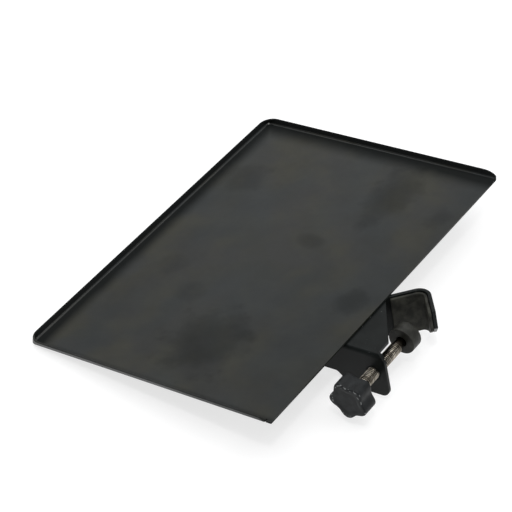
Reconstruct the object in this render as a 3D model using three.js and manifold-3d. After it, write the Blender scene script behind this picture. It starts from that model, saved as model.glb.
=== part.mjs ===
// Clamp-on board: a pressed sheet-steel board with a lip on three sides, carried at its open
// edge by a screw clamp that grips an upright round pole.
//
// Frame, in millimetres: the origin is the middle of the working surface, +Z is up from it,
// +X points to the open edge and the clamp, +Y runs along the long side away from the knob.

import * as THREE from 'three';
import { mergeVertices } from 'three/addons/utils/BufferGeometryUtils.js';
import Module from 'manifold-3d';

// ---- driving dimensions -------------------------------------------------------------------

// Board.
const BOARD_LENGTH = 260;        // working surface along Y, between the front and back lips
const BOARD_WIDTH = 183;         // working surface along X, from the left lip to the open edge
const BOARD_SHEET = 1.2;         // sheet thickness
const LIP_HEIGHT = 4.1;          // top of the lip above the working surface
const LIP_BEND = 70;             // degrees that the lip is bent up from the floor
const LIP_BEND_RADIUS = 1.6;     // inside radius of that bend
const BOARD_CORNER_RADIUS = 7.5; // closed corners, seen from above
const BACK_LIP_RUN_OUT = 10.5;   // length over which the back lip curves down to the open edge
const FRONT_LIP_RUN_OUT = 3;     // the same on the front lip
const CORNER_TAB = 3.4;          // flat tab left at the front of the open edge
const TAB_SLIT = 0.9;            // relief slit between the front lip and that tab

// Fit between pieces.
const SEAT_GAP = 0.3;            // between faces that are welded, pressed or clipped together
const RUNNING_GAP = 0.3;         // round a part that turns or slides

// Screw and its thread.
const SCREW_RADIUS = 4;          // M8
const SCREW_OUTBOARD = 18;       // screw axis beyond the open edge
const SCREW_DROP = 17.2;         // screw axis below the working surface
const THREAD_END = 5.3;          // thread's end in front of the pad, where a plain end starts
const PLAIN_END_RADIUS = 3.3;    // that plain end, which the pad turns on
const SCREW_TIP_NECK = 2.4;      // radius of the groove that holds the pad
const SCREW_NECK_LENGTH = 1.4;   // length of that groove
const SCREW_TIP_HEAD = 1.4;      // length of the round head beyond the groove
const BOLT_HEAD_ACROSS = 13;     // hexagon head moulded into the knob, across flats
const BOLT_HEAD_LENGTH = 5.3;

// Clamp bracket.
const BRACKET_STEEL = 2;         // thickness of the bent plate
const BRACKET_BEND_RADIUS = 1.2; // inside radius of its bend
const FLANGE_FACE_Y = -52;       // outer face of the flange that carries the screw
const FLANGE_OUTBOARD = 27.7;    // flange edge beyond the open edge
const FLANGE_INBOARD = 27;       // flange edge inside the open edge
const FLANGE_DEPTH = 33.5;       // bottom of the flange below the working surface
const FLANGE_DEEP_REACH = 18.4;  // inboard reach of that deep part from the screw axis
const FLANGE_WING_DEPTH = 24.5;  // bottom of its shallower inboard wing
const FLANGE_CORNER_RADIUS = 6;
const FLANGE_SHOULDER_RADIUS = 7;
const PLATE_OUTBOARD = 22.5;     // base plate edge beyond the open edge
const PLATE_INBOARD = 34;        // base plate edge inside the open edge
const PLATE_CUT_START_Y = -38;   // where its edge turns in to clear the pole
const PLATE_CUT_END_Y = -5.8;    // where that slanting edge comes in under the board
const PLATE_CORNER_RADIUS = 6;

// Threaded bush pressed into the flange.
const BUSH_SPIGOT_RADIUS = 4.9;
const BUSH_COLLAR_RADIUS = 6.4;
const BUSH_COLLAR_LENGTH = 2.4;

// V-shaped jaw, welded to the slanting rear edge of the base plate, and its liner.
const JAW_STEEL = 2.4;           // thickness
const JAW_OUTBOARD = 16.8;       // crossing of the outer faces beyond the open edge
const JAW_APEX_Y = 18.2;         // the same crossing along Y
const INNER_LEG_ANGLE = 45.5;    // degrees between the inner leg and the screw's direction
const FREE_LEG_ANGLE = 40;       // the same on the free leg
const JAW_OUTER_RADIUS = 8.5;    // outside radius of the apex
const JAW_HEIGHT = 29.8;         // height at the apex and along the inner leg
const JAW_TIP_HEIGHT = 13.2;     // height at the end of the free leg
const FREE_LEG_LENGTH = 27;      // along the outer face from the crossing point
const WELDED_LEG_LENGTH = 46;    // the same on the leg under the board
const WELD_LENGTH = 17;          // stretch of that leg along the base plate
const LINER_THICKNESS = 2;
const LINER_INSET = 0.8;         // liner's top edge below the jaw's top edge
const LINER_TOP_OUTBOARD = 2.9;    // liner's end on the inner leg, beyond the open edge
const LINER_END_SLANT = 0.4;     // how much further in that end is at the bottom
const LINER_TIP_OVERHANG = 1.6;  // liner's lower edge below the jaw's at the free end

// Pressure pad.
const PAD_RADIUS = 9.1;
const PAD_LENGTH = 9;
const PAD_FRONT_Y = -20.2;       // face towards the knob, as shown
const PAD_EDGE = 0.7;            // rounded edges
const PAD_WALL = 3.6;            // pad between the screw tip and the pole

// Knob.
const KNOB_BACK_Y = -69;         // face towards the flange, as shown
const KNOB_THICKNESS = 12;
const KNOB_MEAN_RADIUS = 12;
const KNOB_LOBE_HEIGHT = 1.35;   // how far each lobe stands out from the mean radius
const KNOB_LOBES = 5;
const KNOB_LOBE_TURN = 45;       // degrees from +X up to the first lobe
const KNOB_EDGE = 1.1;           // chamfer of the knob's edges
const KNOB_WALL = 3;             // plastic in front of the bolt head

// Facets round each part.
const ROUND_STEPS = 40;
const ARC_STEPS = 8;

// ---- worked-out sizes ---------------------------------------------------------------------

const OPEN_EDGE_X = BOARD_WIDTH / 2;
const SCREW_X = OPEN_EDGE_X + SCREW_OUTBOARD;
const SCREW_Z = -SCREW_DROP;
const FLANGE_BACK_Y = FLANGE_FACE_Y + BRACKET_STEEL;
const PLATE_TOP_Z = -BOARD_SHEET - SEAT_GAP;
const PLATE_BOTTOM_Z = PLATE_TOP_Z - BRACKET_STEEL;
const JAW_X = OPEN_EDGE_X + JAW_OUTBOARD;
const JAW_TOP_Z = PLATE_TOP_Z;
const JAW_BOTTOM_Z = JAW_TOP_Z - JAW_HEIGHT;
const PAD_BACK_Y = PAD_FRONT_Y + PAD_LENGTH;
const PAD_BORE_END_Y = PAD_BACK_Y - PAD_WALL;
const SCREW_TIP_Y = PAD_BORE_END_Y - SEAT_GAP;
const KNOB_FRONT_Y = KNOB_BACK_Y - KNOB_THICKNESS;
const BOLT_HEAD_FRONT_Y = KNOB_FRONT_Y + KNOB_WALL + SEAT_GAP;
const BOLT_HEAD_BACK_Y = BOLT_HEAD_FRONT_Y + BOLT_HEAD_LENGTH;
const WELL_CLEAR = 20;           // how far a cutting shape runs past what it cuts
const JUST_CLEAR = 1;            // the same where something else is near

const radians = THREE.MathUtils.degToRad;

// ---- materials ----------------------------------------------------------------------------

const FINISHES = {
  powderCoat: { color: 0x2e2f2e, roughness: 0.5, metalness: 0.1 },
  bracketPaint: { color: 0x222423, roughness: 0.45, metalness: 0.1 },
  linerRubber: { color: 0x33342f, roughness: 0.75, metalness: 0 },
  zincPlate: { color: 0xb5aa98, roughness: 0.3, metalness: 1 },
  padPlastic: { color: 0x26262a, roughness: 0.6, metalness: 0 },
  knobPlastic: { color: 0x36393a, roughness: 0.6, metalness: 0 },
};

function finish(name) {
  return new THREE.MeshStandardMaterial({ name, ...FINISHES[name] });
}

// ---- solids -------------------------------------------------------------------------------

const wasm = await Module();
wasm.setup();

// A closed three.js geometry as a solid that can be joined and cut.
function solid(geometry) {
  const bare = geometry.clone();
  bare.deleteAttribute('normal');
  bare.deleteAttribute('uv');
  const merged = mergeVertices(bare, 1e-5);
  return new wasm.Manifold(new wasm.Mesh({
    numProp: 3,
    vertProperties: new Float32Array(merged.attributes.position.array),
    triVerts: new Uint32Array(merged.index.array),
  }));
}

// A solid as a named mesh of the assembly.
function piece(name, body, finishName) {
  const mesh = body.getMesh();
  const geometry = new THREE.BufferGeometry();
  geometry.setAttribute('position', new THREE.BufferAttribute(mesh.vertProperties, 3));
  geometry.setIndex(new THREE.BufferAttribute(mesh.triVerts, 1));
  geometry.computeVertexNormals();
  const named = new THREE.Mesh(geometry, finish(finishName));
  named.name = name;
  return named;
}

// Bases that stand a flat outline up: its x, its y and its depth go along these directions.
const AXIS_X = new THREE.Vector3(1, 0, 0);
const AXIS_Y = new THREE.Vector3(0, 1, 0);
const AXIS_Z = new THREE.Vector3(0, 0, 1);
const FROM_ABOVE = new THREE.Matrix4();
const FROM_FRONT = new THREE.Matrix4().makeBasis(AXIS_X, AXIS_Z, AXIS_Y.clone().negate());
const FROM_RIGHT = new THREE.Matrix4().makeBasis(AXIS_Y, AXIS_Z, AXIS_X);

// A flat outline carried straight from one level to another along the basis's depth axis.
// FROM_ABOVE takes levels in z, FROM_FRONT in y (lower level first) and FROM_RIGHT in x.
function prism(outline, from, to, basis = FROM_ABOVE) {
  const geometry = new THREE.ExtrudeGeometry(outline, {
    depth: to - from, bevelEnabled: false, curveSegments: ARC_STEPS,
  });
  geometry.translate(0, 0, basis === FROM_FRONT ? -to : from);
  geometry.applyMatrix4(basis);
  return solid(geometry);
}

function box(low, high) {
  const size = high.map((value, axis) => value - low[axis]);
  const geometry = new THREE.BoxGeometry(...size);
  geometry.translate(...low.map((value, axis) => value + size[axis] / 2));
  return solid(geometry);
}

// A closed profile of [radius, y] points turned about the screw axis.
function turned(profile, steps = ROUND_STEPS) {
  const points = profile.map(([radius, y]) => new THREE.Vector2(radius, y));
  const geometry = new THREE.LatheGeometry(points, steps);
  geometry.translate(SCREW_X, 0, SCREW_Z);
  return solid(geometry);
}

// A straight-sided outline of [x, y] corners, each rounded by the radius given third.
function roundedOutline(corners) {
  const outline = new THREE.Shape();
  corners.forEach(([x, y, radius = 0], index) => {
    const corner = new THREE.Vector2(x, y);
    const before = new THREE.Vector2(...corners.at(index - 1));
    const after = new THREE.Vector2(...corners[(index + 1) % corners.length]);
    const back = before.sub(corner).normalize();
    const forth = after.sub(corner).normalize();
    const half = Math.acos(THREE.MathUtils.clamp(back.dot(forth), -1, 1)) / 2;
    const reach = radius / Math.tan(half);
    const start = corner.clone().addScaledVector(back, reach);
    const draw = index === 0 ? 'moveTo' : 'lineTo';
    outline[draw](start.x, start.y);
    if (radius > 0) {
      const middle = back.clone().add(forth).normalize();
      const centre = corner.clone().addScaledVector(middle, radius / Math.sin(half));
      const end = corner.clone().addScaledVector(forth, reach);
      const from = start.clone().sub(centre).angle();
      const to = end.clone().sub(centre).angle();
      const leftTurn = back.cross(forth) < 0;
      outline.absarc(centre.x, centre.y, radius, from, to, !leftTurn);
    }
  });
  outline.closePath();
  return outline;
}

// ---- board --------------------------------------------------------------------------------

// The board's outline grown by `out`, as a ring of points at height z. It runs past the open
// edge, where the board is cut off afterwards.
function boardRing(out, z) {
  const radius = BOARD_CORNER_RADIUS + out;
  const half = BOARD_LENGTH / 2 + out;
  const left = -BOARD_WIDTH / 2 - out;
  const right = OPEN_EDGE_X + WELL_CLEAR + out;
  const centres = [
    [right - radius, half - radius], [left + radius, half - radius],
    [left + radius, radius - half], [right - radius, radius - half],
  ];
  return centres.flatMap(([x, y], quarter) => Array.from({ length: ARC_STEPS + 1 }, (_, step) => {
    const angle = (quarter + step / ARC_STEPS) * Math.PI / 2;
    return [x + radius * Math.cos(angle), y + radius * Math.sin(angle), z];
  }));
}

// Rings of equal length joined into a closed skin, flat across the first and the last.
function skinned(rings) {
  const count = rings[0].length;
  const positions = rings.flat(2);
  const triangles = [];
  for (let ring = 0; ring < rings.length - 1; ring += 1) {
    for (let k = 0; k < count; k += 1) {
      const a = ring * count + k;
      const b = ring * count + (k + 1) % count;
      triangles.push(a, b, b + count, a, b + count, a + count);
    }
  }
  const last = (rings.length - 1) * count;
  for (let k = 1; k < count - 1; k += 1) {
    triangles.push(0, k + 1, k);
    triangles.push(last, last + k, last + k + 1);
  }
  const geometry = new THREE.BufferGeometry();
  geometry.setAttribute('position', new THREE.Float32BufferAttribute(positions, 3));
  geometry.setIndex(triangles);
  return solid(geometry);
}

// The sheet's section as [out, z] points: under the floor, round the bend, over the lip's
// rounded top and back down to the floor's upper face.
function boardSection() {
  const bend = radians(LIP_BEND);
  const centreOut = -LIP_BEND_RADIUS * Math.tan(bend / 2);
  const arc = (radius) => Array.from({ length: ARC_STEPS - 1 }, (_, step) => {
    const angle = bend * step / (ARC_STEPS - 2);
    return [centreOut + radius * Math.sin(angle), LIP_BEND_RADIUS - radius * Math.cos(angle)];
  });
  const inner = arc(LIP_BEND_RADIUS);
  const outer = arc(LIP_BEND_RADIUS + BOARD_SHEET);
  const [bendOut, bendZ] = inner.at(-1);
  const middle = BOARD_SHEET / 2;
  const rise = (LIP_HEIGHT - middle + middle * Math.cos(bend) - bendZ) / Math.sin(bend);
  const topOut = bendOut + rise * Math.cos(bend) + middle * Math.sin(bend);
  const topZ = bendZ + rise * Math.sin(bend) - middle * Math.cos(bend);
  const roundSteps = 4;
  const top = Array.from({ length: roundSteps + 1 }, (_, step) => {
    const angle = bend - Math.PI / 2 + Math.PI * step / roundSteps;
    return [topOut + middle * Math.cos(angle), topZ + middle * Math.sin(angle)];
  });
  return [...outer, ...top, ...inner.reverse()];
}

// What is taken off above the lip's end so that its top curves down over `runOut`.
function lipRunOut(runOut, endX, lowY, highY) {
  const cut = new THREE.Shape();
  const height = LIP_HEIGHT + BOARD_SHEET;
  cut.moveTo(endX - runOut, height + 1);
  cut.lineTo(endX - runOut, LIP_HEIGHT);
  cut.absellipse(endX - runOut, 0, runOut, LIP_HEIGHT, Math.PI / 2, 0, true);
  cut.lineTo(endX + WELL_CLEAR, 0);
  cut.lineTo(endX + WELL_CLEAR, height + 1);
  cut.closePath();
  return prism(cut, lowY, highY, FROM_FRONT);
}

function boardPan() {
  const sheet = skinned(boardSection().map(([out, z]) => boardRing(out, z)));
  const halfLength = BOARD_LENGTH / 2;
  const outside = halfLength + WELL_CLEAR;
  const pastOpenEdge = box(
    [OPEN_EDGE_X, -outside, -WELL_CLEAR],
    [OPEN_EDGE_X + 3 * WELL_CLEAR, outside, WELL_CLEAR],
  );
  const backEnd = lipRunOut(BACK_LIP_RUN_OUT, OPEN_EDGE_X, halfLength - LIP_HEIGHT, outside);
  const tabStart = OPEN_EDGE_X - CORNER_TAB;
  const frontEnd = lipRunOut(FRONT_LIP_RUN_OUT, tabStart, -outside, LIP_HEIGHT - halfLength);
  const slit = box(
    [tabStart - TAB_SLIT, -outside, -WELL_CLEAR],
    [tabStart, -halfLength + LIP_BEND_RADIUS, WELL_CLEAR],
  );
  return sheet.subtract(pastOpenEdge).subtract(backEnd).subtract(frontEnd).subtract(slit);
}

// ---- clamp bracket ------------------------------------------------------------------------

// The base plate and the flange as one bent strip, before its outlines are trimmed.
function bentStrip() {
  const outerRadius = BRACKET_BEND_RADIUS + BRACKET_STEEL;
  const rearY = jawPoint('inner', WELDED_LEG_LENGTH - WELD_LENGTH, 0)[1] + JUST_CLEAR;
  const profile = roundedOutline([
    [FLANGE_FACE_Y, PLATE_TOP_Z, outerRadius],
    [FLANGE_FACE_Y, -FLANGE_DEPTH],
    [FLANGE_BACK_Y, -FLANGE_DEPTH],
    [FLANGE_BACK_Y, PLATE_BOTTOM_Z, BRACKET_BEND_RADIUS],
    [rearY, PLATE_BOTTOM_Z],
    [rearY, PLATE_TOP_Z],
  ]);
  const left = OPEN_EDGE_X - PLATE_INBOARD;
  const right = OPEN_EDGE_X + FLANGE_OUTBOARD;
  return prism(profile, left, right, FROM_RIGHT);
}

// The flange's outline seen from the front: deep round the screw, shallower inboard.
function flangeOutline() {
  const left = OPEN_EDGE_X - FLANGE_INBOARD;
  const right = OPEN_EDGE_X + FLANGE_OUTBOARD;
  const step = FLANGE_DEPTH - FLANGE_WING_DEPTH;
  const deepStart = SCREW_X - FLANGE_DEEP_REACH;
  return roundedOutline([
    [left, PLATE_TOP_Z],
    [left, -FLANGE_WING_DEPTH, FLANGE_CORNER_RADIUS],
    [deepStart - step, -FLANGE_WING_DEPTH, FLANGE_CORNER_RADIUS / 2],
    [deepStart, -FLANGE_DEPTH, FLANGE_CORNER_RADIUS / 2],
    [right, -FLANGE_DEPTH, FLANGE_CORNER_RADIUS],
    [right, PLATE_TOP_Z, FLANGE_SHOULDER_RADIUS],
  ]);
}

// The base plate's outline seen from above: one edge slants in to clear the pole, and the
// rear edge follows the jaw's inner leg, where the two are welded.
function plateOutline() {
  const left = OPEN_EDGE_X - PLATE_INBOARD;
  const right = OPEN_EDGE_X + PLATE_OUTBOARD;
  const front = FLANGE_BACK_Y + BRACKET_BEND_RADIUS;
  const weldDepth = JAW_STEEL + SEAT_GAP;
  const weldStart = WELDED_LEG_LENGTH - WELD_LENGTH;
  const weldEnd = jawPoint('inner', WELDED_LEG_LENGTH, weldDepth);
  return roundedOutline([
    [left, front],
    [right, front],
    [right, PLATE_CUT_START_Y, PLATE_CORNER_RADIUS / 2],
    [OPEN_EDGE_X, PLATE_CUT_END_Y, 1],
    jawPoint('inner', weldStart, weldDepth),
    weldEnd,
    [left, weldEnd[1], PLATE_CORNER_RADIUS],
  ]);
}

function clampBracket() {
  const front = FLANGE_BACK_Y + BRACKET_BEND_RADIUS;
  const flangeZone = prism(flangeOutline(), FLANGE_FACE_Y - 1, front, FROM_FRONT);
  const plateZone = prism(plateOutline(), PLATE_BOTTOM_Z - 1, PLATE_TOP_Z + 1);
  const hole = turned([
    [0, FLANGE_FACE_Y - 1], [BUSH_SPIGOT_RADIUS + SEAT_GAP, FLANGE_FACE_Y - 1],
    [BUSH_SPIGOT_RADIUS + SEAT_GAP, front], [0, front],
  ]);
  return bentStrip().intersect(flangeZone.add(plateZone)).subtract(hole);
}

function threadedBush() {
  const bore = SCREW_RADIUS + RUNNING_GAP;
  const collarStart = FLANGE_BACK_Y + SEAT_GAP;
  return turned([
    [bore, FLANGE_FACE_Y],
    [BUSH_SPIGOT_RADIUS, FLANGE_FACE_Y],
    [BUSH_SPIGOT_RADIUS, collarStart],
    [BUSH_COLLAR_RADIUS, collarStart],
    [BUSH_COLLAR_RADIUS, collarStart + BUSH_COLLAR_LENGTH],
    [bore, collarStart + BUSH_COLLAR_LENGTH],
    [bore, FLANGE_FACE_Y],
  ]);
}

// ---- jaw and liner ------------------------------------------------------------------------

// The jaw's legs seen from above: which way each runs from where the outer faces cross, and
// which way is inward from its outer face.
function jawLeg(angle, side) {
  const along = new THREE.Vector2(side * Math.sin(angle), -Math.cos(angle));
  const inward = new THREE.Vector2(-side * Math.cos(angle), -Math.sin(angle));
  return { along, inward };
}

const JAW_LEGS = {
  inner: jawLeg(radians(INNER_LEG_ANGLE), -1),
  free: jawLeg(radians(FREE_LEG_ANGLE), 1),
};

// A point of the jaw seen from above: `length` along a leg's outer face from where the two
// outer faces cross, and `depth` in from that face.
function jawPoint(leg, length, depth) {
  const { along, inward } = JAW_LEGS[leg];
  return [
    JAW_X + along.x * length + inward.x * depth,
    JAW_APEX_Y + along.y * length + inward.y * depth,
  ];
}

// Where the two faces that lie `depth` inside the outer faces cross.
function jawCrossing(depth) {
  const { inner, free } = JAW_LEGS;
  const reach = depth / (1 + inner.inward.dot(free.inward));
  return [
    JAW_X + (inner.inward.x + free.inward.x) * reach,
    JAW_APEX_Y + (inner.inward.y + free.inward.y) * reach,
  ];
}

// A V-shaped band seen from above, open towards the screw, `inset` in from the outer faces.
function jawBand(inset, thickness) {
  const deeper = inset + thickness;
  return roundedOutline([
    jawPoint('inner', WELDED_LEG_LENGTH, inset),
    jawPoint('inner', WELDED_LEG_LENGTH, deeper),
    [...jawCrossing(deeper), JAW_OUTER_RADIUS - deeper],
    jawPoint('free', FREE_LEG_LENGTH, deeper),
    jawPoint('free', FREE_LEG_LENGTH, inset),
    [...jawCrossing(inset), JAW_OUTER_RADIUS - inset],
  ]);
}

// What is cut away below the free leg so that its lower edge rises to `tipHeight` at its end.
function belowFreeLeg(tipHeight) {
  const opening = radians(INNER_LEG_ANGLE + FREE_LEG_ANGLE) / 2;
  const straightStart = JAW_OUTER_RADIUS / Math.tan(opening);
  const rise = (JAW_HEIGHT - tipHeight) / (FREE_LEG_LENGTH - straightStart);
  const wedge = new THREE.Shape([
    new THREE.Vector2(straightStart - JUST_CLEAR, JAW_BOTTOM_Z - rise * JUST_CLEAR),
    new THREE.Vector2(FREE_LEG_LENGTH + JUST_CLEAR, JAW_BOTTOM_Z - rise * JUST_CLEAR),
    new THREE.Vector2(FREE_LEG_LENGTH + JUST_CLEAR, JAW_TOP_Z - tipHeight + rise * JUST_CLEAR),
  ]);
  const { along, inward } = JAW_LEGS.free;
  const fromInside = new THREE.Matrix4().makeBasis(
    new THREE.Vector3(along.x, along.y, 0), AXIS_Z, new THREE.Vector3(inward.x, inward.y, 0),
  ).setPosition(JAW_X, JAW_APEX_Y, 0);
  return prism(wedge, -JUST_CLEAR, JAW_OUTER_RADIUS, fromInside);
}

function hookJaw() {
  const band = prism(jawBand(0, JAW_STEEL), JAW_BOTTOM_Z, JAW_TOP_Z);
  return band.subtract(belowFreeLeg(JAW_TIP_HEIGHT));
}

// The liner follows the jaw's inner face and stops short of the base plate's corner.
function jawLiner() {
  const top = JAW_TOP_Z - LINER_INSET;
  const end = OPEN_EDGE_X + LINER_TOP_OUTBOARD;
  const band = prism(jawBand(JAW_STEEL + SEAT_GAP, LINER_THICKNESS), JAW_BOTTOM_Z, top);
  const inboard = new THREE.Shape([
    new THREE.Vector2(end, top + JUST_CLEAR),
    new THREE.Vector2(end - WELL_CLEAR * 2, top + JUST_CLEAR),
    new THREE.Vector2(end - WELL_CLEAR * 2, JAW_BOTTOM_Z - JUST_CLEAR),
    new THREE.Vector2(end - LINER_END_SLANT, JAW_BOTTOM_Z - JUST_CLEAR),
  ]);
  const beyondEnd = prism(inboard, FLANGE_FACE_Y, JAW_APEX_Y, FROM_FRONT);
  const tipHeight = JAW_TIP_HEIGHT + LINER_TIP_OVERHANG;
  return band.subtract(beyondEnd).subtract(belowFreeLeg(tipHeight));
}

// ---- screw, pad and knob ------------------------------------------------------------------

function clampScrew() {
  const neckEnd = SCREW_TIP_Y - SCREW_TIP_HEAD;
  const neckStart = neckEnd - SCREW_NECK_LENGTH;
  const threadEnd = PAD_FRONT_Y - THREAD_END;
  const lead = SCREW_RADIUS - PLAIN_END_RADIUS;
  const shank = turned([
    [0, BOLT_HEAD_BACK_Y - 1],
    [SCREW_RADIUS, BOLT_HEAD_BACK_Y - 1],
    [SCREW_RADIUS, threadEnd - lead],
    [PLAIN_END_RADIUS, threadEnd],
    [PLAIN_END_RADIUS, neckStart],
    [SCREW_TIP_NECK, neckStart],
    [SCREW_TIP_NECK, neckEnd],
    [PLAIN_END_RADIUS, neckEnd],
    [SCREW_TIP_NECK, SCREW_TIP_Y],
    [0, SCREW_TIP_Y],
  ]);
  return shank.add(hexagon(BOLT_HEAD_ACROSS, BOLT_HEAD_FRONT_Y, BOLT_HEAD_BACK_Y));
}

// A six-sided prism about the screw axis.
function hexagon(acrossFlats, fromY, toY) {
  const cornerRadius = acrossFlats / Math.sqrt(3);
  return turned([[0, fromY], [cornerRadius, fromY], [cornerRadius, toY], [0, toY]], 6);
}

// The pad snaps over the screw's tip: a ridge inside its bore runs in the tip's groove.
function pressurePad() {
  const bore = PLAIN_END_RADIUS + RUNNING_GAP;
  const ridge = SCREW_TIP_NECK + RUNNING_GAP;
  const ridgeEnd = SCREW_TIP_Y - SCREW_TIP_HEAD - RUNNING_GAP;
  const ridgeStart = ridgeEnd - (SCREW_NECK_LENGTH - 2 * RUNNING_GAP);
  return turned([
    [bore, PAD_FRONT_Y],
    [PAD_RADIUS - PAD_EDGE, PAD_FRONT_Y],
    [PAD_RADIUS, PAD_FRONT_Y + PAD_EDGE],
    [PAD_RADIUS, PAD_BACK_Y - PAD_EDGE],
    [PAD_RADIUS - PAD_EDGE, PAD_BACK_Y],
    [0, PAD_BACK_Y],
    [0, PAD_BORE_END_Y],
    [bore, PAD_BORE_END_Y],
    [bore, ridgeEnd],
    [ridge, ridgeEnd],
    [ridge, ridgeStart],
    [bore, ridgeStart],
    [bore, PAD_FRONT_Y],
  ]);
}

// The knob's outline about the screw axis: a mean circle with a wave of lobes on it.
function knobOutline() {
  const steps = KNOB_LOBES * 12;
  const points = Array.from({ length: steps }, (_, step) => {
    const angle = 2 * Math.PI * step / steps;
    const wave = Math.cos(KNOB_LOBES * (angle - radians(KNOB_LOBE_TURN)));
    const radius = KNOB_MEAN_RADIUS - KNOB_EDGE + KNOB_LOBE_HEIGHT * wave;
    return new THREE.Vector2(radius * Math.cos(angle), radius * Math.sin(angle));
  });
  return new THREE.Shape(points);
}

function knobBody() {
  const geometry = new THREE.ExtrudeGeometry(knobOutline(), {
    depth: KNOB_THICKNESS - 2 * KNOB_EDGE,
    bevelThickness: KNOB_EDGE,
    bevelSize: KNOB_EDGE,
    bevelSegments: 2,
  });
  geometry.applyMatrix4(FROM_FRONT);
  geometry.translate(SCREW_X, KNOB_BACK_Y - KNOB_EDGE, SCREW_Z);
  const shankBore = turned([
    [0, BOLT_HEAD_FRONT_Y], [SCREW_RADIUS + SEAT_GAP, BOLT_HEAD_FRONT_Y],
    [SCREW_RADIUS + SEAT_GAP, KNOB_BACK_Y + 1], [0, KNOB_BACK_Y + 1],
  ]);
  const headPocket = hexagon(
    BOLT_HEAD_ACROSS + 2 * SEAT_GAP, BOLT_HEAD_FRONT_Y - SEAT_GAP, BOLT_HEAD_BACK_Y + SEAT_GAP,
  );
  return solid(geometry).subtract(shankBore).subtract(headPocket);
}

// ---- assembly -----------------------------------------------------------------------------

const assembly = new THREE.Group();
assembly.add(
  piece('board_pan', boardPan(), 'powderCoat'),
  piece('clamp_bracket', clampBracket(), 'bracketPaint'),
  piece('hook_jaw', hookJaw(), 'bracketPaint'),
  piece('jaw_liner', jawLiner(), 'linerRubber'),
  piece('threaded_bush', threadedBush(), 'zincPlate'),
  piece('clamp_screw', clampScrew(), 'zincPlate'),
  piece('knob_body', knobBody(), 'knobPlastic'),
  piece('pressure_pad', pressurePad(), 'padPlastic'),
);

export default assembly;
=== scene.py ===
"""Clamp-on board: a pressed steel board with a screw clamp under its open edge.

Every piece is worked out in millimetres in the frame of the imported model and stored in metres.
"""
import logging
import math
from dataclasses import dataclass, field
from enum import Enum

import bmesh
import bpy
import numpy as np
from mathutils import Matrix, Vector


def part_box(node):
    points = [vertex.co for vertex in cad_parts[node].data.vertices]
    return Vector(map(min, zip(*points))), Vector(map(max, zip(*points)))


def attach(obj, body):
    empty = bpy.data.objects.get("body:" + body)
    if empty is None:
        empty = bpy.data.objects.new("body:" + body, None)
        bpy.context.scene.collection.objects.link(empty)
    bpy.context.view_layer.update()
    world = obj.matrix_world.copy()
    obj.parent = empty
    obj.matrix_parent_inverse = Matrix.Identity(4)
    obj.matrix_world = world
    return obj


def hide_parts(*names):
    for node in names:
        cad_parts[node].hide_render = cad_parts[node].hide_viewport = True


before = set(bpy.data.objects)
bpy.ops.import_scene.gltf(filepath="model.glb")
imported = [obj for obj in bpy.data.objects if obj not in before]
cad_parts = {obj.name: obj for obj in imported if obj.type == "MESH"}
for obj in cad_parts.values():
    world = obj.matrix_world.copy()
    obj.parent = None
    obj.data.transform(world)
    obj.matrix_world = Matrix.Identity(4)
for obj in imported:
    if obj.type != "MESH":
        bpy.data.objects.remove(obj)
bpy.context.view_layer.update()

MM = 0.001
NOWHERE = -1000.0  # a Y that no piece reaches, in millimetres
LOG = logging.getLogger("clamp_on_board")


class Body(Enum):
    """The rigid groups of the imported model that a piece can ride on."""

    BOARD = "board"
    PAD = "pad"
    SCREW = "screw"


class Slot(Enum):
    """The material slots of the record."""

    BOARD_COATING = "board_coating"
    BRACKET_PAINT = "bracket_paint"
    LINER_RUBBER = "liner_rubber"
    PLATED_STEEL = "plated_steel"
    KNOB_PLASTIC = "knob_plastic"
    PAD_PLASTIC = "pad_plastic"


# ---- shader expressions ---------------------------------------------------------------------


class Value:
    """A number on a socket, so that shader maths reads as an expression."""

    def __init__(self, shader: "Shader", socket: bpy.types.NodeSocket) -> None:
        """Wraps an output socket of a shader."""
        self.shader = shader
        self.socket = socket

    def _math(self, operation: str, first: object, second: object = 0.0) -> "Value":
        """Adds one Math node.

        Args:
            operation: the node's operation.
            first: its first input, a number or a Value.
            second: its second input.

        Returns:
            The node's result.
        """
        return self.shader.node("ShaderNodeMath", {"operation": operation}, {0: first, 1: second})

    def __add__(self, other: object) -> "Value":
        """self + other."""
        return self._math("ADD", self, other)

    def __radd__(self, other: object) -> "Value":
        """other + self."""
        return self._math("ADD", other, self)

    def __sub__(self, other: object) -> "Value":
        """self - other."""
        return self._math("SUBTRACT", self, other)

    def __rsub__(self, other: object) -> "Value":
        """other - self."""
        return self._math("SUBTRACT", other, self)

    def __mul__(self, other: object) -> "Value":
        """self * other."""
        return self._math("MULTIPLY", self, other)

    def __rmul__(self, other: object) -> "Value":
        """other * self."""
        return self._math("MULTIPLY", other, self)

    def __truediv__(self, other: object) -> "Value":
        """self / other."""
        return self._math("DIVIDE", self, other)

    def largest(self, other: object) -> "Value":
        """The larger of self and other."""
        return self._math("MAXIMUM", self, other)

    def smallest(self, other: object) -> "Value":
        """The smaller of self and other."""
        return self._math("MINIMUM", self, other)

    def step(self, start: float, end: float) -> "Value":
        """0 before start and 1 after end, smooth between them."""
        return self.shader.node(
            "ShaderNodeMapRange",
            {"interpolation_type": "SMOOTHSTEP"},
            {"Value": self, "From Min": start, "From Max": end},
        )


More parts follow.
